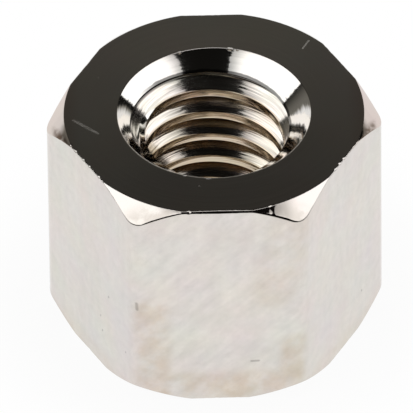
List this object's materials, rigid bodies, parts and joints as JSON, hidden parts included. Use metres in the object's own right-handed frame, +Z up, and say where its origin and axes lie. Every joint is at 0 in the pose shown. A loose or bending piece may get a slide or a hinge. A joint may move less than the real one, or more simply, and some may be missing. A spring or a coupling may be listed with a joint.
{
  "type": "hex standoff",
  "caption": "Short hexagonal standoff, tapped right through, with countersunk mouths and turned corner chamfers, to hold a board clear of a panel.",
  "frame": {"origin": "centre of the lower end face, on the thread's axis", "axes": "+Z up along the thread's axis, -Y square to the flat that faces the viewer, +X towards an upright corner"},
  "size_m": [0.008, 0.007, 0.006],
  "materials": {
    "nickel_plate": "bright nickel plate over turned brass, with drawing lines and light handling marks"
  },
  "bodies": {
    "root": {"standoff": "nickel_plate"}
  },
  "joints": []
}
